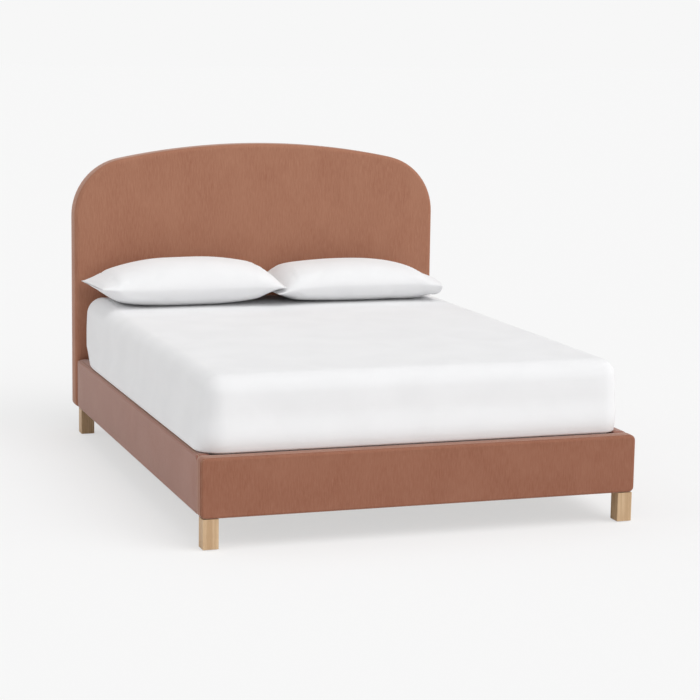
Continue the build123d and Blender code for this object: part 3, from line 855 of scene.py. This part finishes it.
def bed_block(grow, under, surface):
    """The mattress's form or a skin over it, with its outline and the middle of its underside.

    surface gives how far a place is pushed outwards.
    """
    low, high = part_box("mattress")
    middle = (low + high) / 2
    depth = high.z - low.z
    width = high.x - low.x - 2 * bed_swell
    length = high.y - low.y - 2 * bed_swell
    outline = rounded_rectangle(width, length, bed_corner, bed_step, bed_corner_turns)
    work = bmesh.new()
    rows = [
        [work.verts.new((p.x, p.y, depth + grow)) for p in row]
        for row in patch_rows(*outline.edges)
    ]
    join_rings(work, rows, closed=False)
    join_rings(work, [
        [work.verts.new((p.x, p.y, up)) for p in bed_ring(outline, out, up)]
        for out, up in bed_section(depth, grow, under)
    ])
    for vertex in work.verts:
        vertex.co.z += corner_lift(vertex.co) * held_share(vertex.co.z / depth) ** 2
    base = Vector((middle.x, middle.y, low.z))
    placed(work, Matrix.Translation(base))
    bmesh.ops.remove_doubles(work, verts=work.verts, dist=merge_distance)
    bmesh.ops.recalc_face_normals(work, faces=work.faces)
    work.normal_update()
    for vertex, push in [(v, surface(v.co)) for v in work.verts]:
        vertex.co += vertex.normal * push
    return work, outline, base


def make_mattress():
    work, outline, base = bed_block(0.0, bed_corner, lambda place: 0.0)
    underside = [
        [work.verts.new(base + Vector((p.x, p.y, 0))) for p in row]
        for row in patch_rows(*outline.edges)
    ]
    join_rings(work, underside, closed=False)
    piece = finish_piece(
        "mattress_core", mesh_from("mattress_core", work), materials["ticking"], "mattress",
        ["mattress"],
    )


def make_fitted_sheet():
    low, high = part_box("mattress")

    def pulled(place):
        """The soft hollows of a stretched sheet, which fade where it is drawn tight low down."""
        uneven = soft_unevenness(place, sheet_hollow_size, sheet_hollow_depth)
        slack = held_share((place.z - low.z - taut_height) / taut_run)
        return slack * (uneven - sheet_hollow_depth / 2)

    work = bed_block(sheet_fit, sheet_turn, pulled)[0]
    piece = finish_piece(
        "fitted_sheet_cloth", mesh_from("fitted_sheet_cloth", work), materials["sheet"],
        "mattress", ["fitted_sheet"],
    )
    thickened(piece, sheet_thickness)


# Pillows

# Shares are of a pillow's own size at the stations along it, from its open mouth to its inner
# end. top and base are its heights above and below the seam, the lifts raise or lower the seam's
# ends, mouth_twist tilts the mouth, and mouth_rise and mouth_drop hold it open.
pillow_forms = {
    "left": {
        "turn": 1, "top": 114 * mm, "base": 84 * mm, "inner_lift": -3 * mm,
        "mouth_lift": 1.5 * mm, "mouth_twist": 8.5 * mm, "mouth_rise": 0.0, "mouth_drop": 0.0,
        "top_shares": (0.0, 0.24, 0.59, 0.87, 0.93, 0.91, 0.73, 0.57, 0.36, 0.0),
        "base_shares": (0.0, 0.28, 0.78, 0.97, 1.0, 0.97, 0.76, 0.50, 0.26, 0.0),
    },
    "right": {
        "turn": -1, "top": 93 * mm, "base": 80 * mm, "inner_lift": -27 * mm,
        "mouth_lift": -12 * mm, "mouth_twist": 0.0, "mouth_rise": 0.28, "mouth_drop": 0.68,
        "top_shares": (0.0, 0.30, 0.65, 0.89, 0.95, 0.90, 0.80, 0.60, 0.10, 0.0),
        "base_shares": (0.0, 0.56, 0.92, 0.99, 1.0, 0.97, 0.78, 0.52, 0.28, 0.0),
    },
}
station_shares = (-0.5, -0.46, -0.36, -0.18, 0.0, 0.18, 0.36, 0.42, 0.46, 0.5)
depth_shares = (1.0, 0.97, 0.94, 0.92, 0.915, 0.92, 0.94, 0.955, 0.97, 1.0)
lift_shares = (0.0, 0.0, 0.0, 0.0, 0.0, 0.0, 0.22, 0.50, 0.75, 1.0)
mouth_reach_share = 0.3
rings_along, points_around = 84, 34
top_roundness = (2.4, 1.8)  # powers across and upwards: an ellipse has 2 and 2
base_roundness = (2.7, 1.65)

pillow_lip = 1.2 * mm  # half the thickness of the flat edge where the seam runs
case_hem_width = 24 * mm
case_hem_step = 0.7 * mm
case_thickness = 0.8 * mm
case_rest = 0.4 * mm  # least height of the case above the sheet
filling_inset = 9 * mm

# Where a case is blown up, its ends keep their shape and its middle gives way most.
mouth_kept = 40 * mm
inner_kept = 60 * mm
kept_fade = 50 * mm
most_blown = 4 * mm
blown_pressure = 2.0
blown_frames = 20


def smooth_share(place, shares):
    """A table's share at a place along the pillow, on a smooth curve through its values."""
    count = len(shares)
    i = max(k for k in range(count - 1) if station_shares[k] <= place or k == 0)
    x0, x1 = station_shares[i], station_shares[i + 1]
    h, t = x1 - x0, (place - x0) / (x1 - x0)

    def slope(k):
        a, b = max(k - 1, 0), min(k + 1, count - 1)
        return (shares[b] - shares[a]) / (station_shares[b] - station_shares[a])

    return (
        (2 * t**3 - 3 * t**2 + 1) * shares[i] + (t**3 - 2 * t**2 + t) * h * slope(i)
        + (-2 * t**3 + 3 * t**2) * shares[i + 1] + (t**3 - t**2) * h * slope(i + 1)
    )


def pillow_rings(side, inset, hemmed):
    """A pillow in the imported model's frame, as rings of points from its mouth to its inner end."""
    form = pillow_forms[side]
    low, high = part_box(f"{side}_pillowcase")
    centre, length, depth = (low + high) / 2, high.x - low.x, high.y - low.y
    seam_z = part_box("fitted_sheet")[1].z + form["base"]
    halves = (
        (1, form["top"], form["top_shares"], form["mouth_rise"], *top_roundness),
        (-1, form["base"], form["base_shares"], form["mouth_drop"], *base_roundness),
    )
    rings = []
    for k in range(rings_along + 1):
        share = -0.5 * cos(pi * k / rings_along)
        x = centre.x + form["turn"] * share * (length - 2 * inset)
        mouth = max(0.0, 1 - (share + 0.5) / mouth_reach_share) ** 2
        half = depth * smooth_share(share, depth_shares) / 2 - inset
        seam = seam_z + form["inner_lift"] * smooth_share(share, lift_shares)
        seam += form["mouth_lift"] * mouth
        hem = case_hem_step if hemmed and (share + 0.5) * length < case_hem_width else 0.0
        ring = []
        for edge, size, shares, open_share, across, upward in halves:
            full = hypot(max(0.0, smooth_share(share, shares)), open_share * mouth)
            rise = max(0.0, (size - inset) * full - pillow_lip)
            for i in range(points_around + 1):
                v = cos(pi * i / points_around)
                bulge = max(0.0, 1 - abs(v) ** across) ** (1 / upward)
                twist = form["mouth_twist"] * mouth * v * edge
                height = seam + twist + edge * (pillow_lip + hem * bulge + rise * bulge)
                ring.append(Vector((x, centre.y - v * half * edge, height)))
        rings.append(ring)
    return rings


def plump(piece, kept):
    """Blows a soft case up from inside until its cloth is tight, and keeps the result.

    kept gives how firmly a place stays where it is, and no place moves further than most_blown.
    """
    mesh = piece.data
    before = [v.co.copy() for v in mesh.vertices]
    group = piece.vertex_groups.new(name="kept")
    for vertex in mesh.vertices:
        group.add([vertex.index], kept(vertex.co), "REPLACE")
    cloth = piece.modifiers.new("plump", "CLOTH")
    settings = cloth.settings
    settings.quality = 5
    settings.mass = 0.2
    settings.tension_stiffness = 12
    settings.compression_stiffness = 12
    settings.shear_stiffness = 4
    settings.bending_stiffness = 0.4
    settings.use_pressure = True
    settings.uniform_pressure_force = blown_pressure
    settings.vertex_group_mass = "kept"
    settings.pin_stiffness = 1
    settings.shrink_min = -0.02
    settings.effector_weights.gravity = 0
    cloth.point_cache.frame_start = 1
    cloth.point_cache.frame_end = blown_frames
    scene = bpy.context.scene
    for frame_number in range(1, blown_frames + 1):
        scene.frame_set(frame_number)
    blown = piece.evaluated_get(bpy.context.evaluated_depsgraph_get()).to_mesh()
    after = [v.co.copy() for v in blown.vertices]
    piece.to_mesh_clear()
    piece.modifiers.remove(cloth)
    piece.vertex_groups.remove(group)
    scene.frame_set(1)
    for vertex, start, end in zip(mesh.vertices, before, after):
        move = end - start
        if move.length > most_blown:
            move *= most_blown / move.length
        vertex.co = start + move


def make_pillow(side):
    form = pillow_forms[side]
    case, insert = f"{side}_pillowcase_cloth", f"{side}_pillow_insert"
    low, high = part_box(f"{side}_pillowcase")
    mouth_x, inner_x = (low.x, high.x) if form["turn"] > 0 else (high.x, low.x)
    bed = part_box("fitted_sheet")[1].z

    def kept(place):
        near = min(abs(place.x - mouth_x) - mouth_kept, abs(place.x - inner_x) - inner_kept)
        return held_share(1 - near / kept_fade)

    work = bmesh.new()
    rings = [[work.verts.new(p) for p in ring] for ring in pillow_rings(side, 0.0, True)]
    join_rings(work, rings)
    work.faces.new(rings[-1])
    cloth = finish_piece(
        case, mesh_from(case, work), materials["pillowcase"], f"{side}_pillow",
        [f"{side}_pillowcase"],
    )
    plump(cloth, kept)
    for vertex in cloth.data.vertices:
        vertex.co.z = max(vertex.co.z, bed + case_rest)
    thickened(cloth, case_thickness)

    work = bmesh.new()
    rings = [
        [work.verts.new(p) for p in ring] for ring in pillow_rings(side, filling_inset, False)
    ]
    join_rings(work, rings)
    work.faces.new(rings[0])
    work.faces.new(rings[-1])
    filling = finish_piece(
        insert, mesh_from(insert, work), materials["ticking"], f"{side}_pillow",
        [f"{side}_pillow"],
    )


def make_pillows():
    for side in pillow_forms:
        make_pillow(side)


# Floor, light and camera

paper_half_width = 60.0
paper_clearness = 0.62  # the share of the paper's own brightness that no shadow dims


def make_floor():
    """White matt studio paper, part of whose brightness to the camera no shadow dims."""
    work = bmesh.new()
    bmesh.ops.create_grid(work, x_segments=1, y_segments=1, size=paper_half_width)
    mesh = bpy.data.meshes.new("studio_floor")
    work.to_mesh(mesh)
    work.free()
    floor = bpy.data.objects.new("studio_floor", mesh)
    collection.objects.link(floor)
    material, tree, shader, _ = start_material("studio_paper")
    set_inputs(
        shader, {"Base Color": linear("#F7F7F7"), "Roughness": 1.0, "Specular IOR Level": 0.0}
    )
    clear = add_node(tree, "ShaderNodeEmission", {"Color": linear("#F8F8F8"), "Strength": 1.0})
    seen = add_node(tree, "ShaderNodeLightPath", output="Is Camera Ray")
    share = add_node(tree, "ShaderNodeMath", {0: seen, 1: paper_clearness}, operation="MULTIPLY")
    both = add_node(tree, "ShaderNodeMixShader", {0: share, 1: shader.outputs[0], 2: clear})
    output = next(n for n in tree.nodes if n.type == "OUTPUT_MATERIAL")
    set_inputs(output, {"Surface": both})
    mesh.materials.append(material)


def make_world():
    """Even white light from all round, which shows as near-white paper when seen directly."""
    world = bpy.data.worlds.new("studio")
    bpy.context.scene.world = world
    world.use_nodes = True
    tree = world.node_tree
    light = next(n for n in tree.nodes if n.type == "BACKGROUND")
    set_inputs(light, {"Color": linear("#FFFFFF"), "Strength": 0.5})
    seen = add_node(tree, "ShaderNodeBackground", {"Color": linear("#F7F7F7"), "Strength": 1.0})
    rays = add_node(tree, "ShaderNodeLightPath").node.outputs
    direct = add_node(
        tree, "ShaderNodeMath", {0: rays["Is Camera Ray"], 1: rays["Is Glossy Ray"]},
        operation="MAXIMUM",
    )
    clear = add_node(
        tree, "ShaderNodeMath", {0: direct, 1: rays["Is Transmission Ray"]}, operation="MAXIMUM"
    )
    both = add_node(tree, "ShaderNodeMixShader", {0: clear, 1: light.outputs[0], 2: seen})
    output = next(n for n in tree.nodes if n.type == "OUTPUT_WORLD")
    set_inputs(output, {"Surface": both})


def add_sun(name, towards, strength, spread):
    """A wide, soft lamp without fall-off, shining from the direction towards. spread is degrees."""
    lamp = bpy.data.lights.new(name, "SUN")
    lamp.energy = strength
    lamp.angle = radians(spread)
    holder = bpy.data.objects.new(name, lamp)
    holder.rotation_mode = "QUATERNION"
    holder.rotation_quaternion = Vector(towards).to_track_quat("Z", "Y")
    collection.objects.link(holder)


def make_lamps():
    add_sun("softbox_high", (0.3, -0.35, 0.9), 1.15, 50)
    add_sun("softbox_front_right", (0.75, -0.65, 0.4), 0.9, 60)
    add_sun("softbox_left", (-1.0, 0.35, 0.5), 0.45, 60)


def make_camera():
    """The photo's camera, as fitted to the straight edges of the bed. Angles are degrees."""
    camera = bpy.data.cameras.new("camera")
    camera.lens = 107.36
    camera.sensor_width = 36.0
    camera.clip_end = 200.0
    holder = bpy.data.objects.new("camera", camera)
    place = (-2.6037, -7.8779, 1.8352)
    yaw, pitch, roll = 18.873, 9.162, 0.877
    turn = (
        Matrix.Rotation(radians(-yaw), 4, "Z")
        @ Matrix.Rotation(radians(90 - pitch), 4, "X")
        @ Matrix.Rotation(radians(roll), 4, "Z")
    )
    holder.matrix_world = Matrix.Translation(place) @ turn
    collection.objects.link(holder)
    bpy.context.scene.camera = holder


dress_cad_nodes()
make_headboard()
make_rails()
make_mattress()
make_fitted_sheet()
make_pillows()
make_floor()
make_world()
make_lamps()
make_camera()
bpy.context.scene.view_settings.view_transform = "Standard"
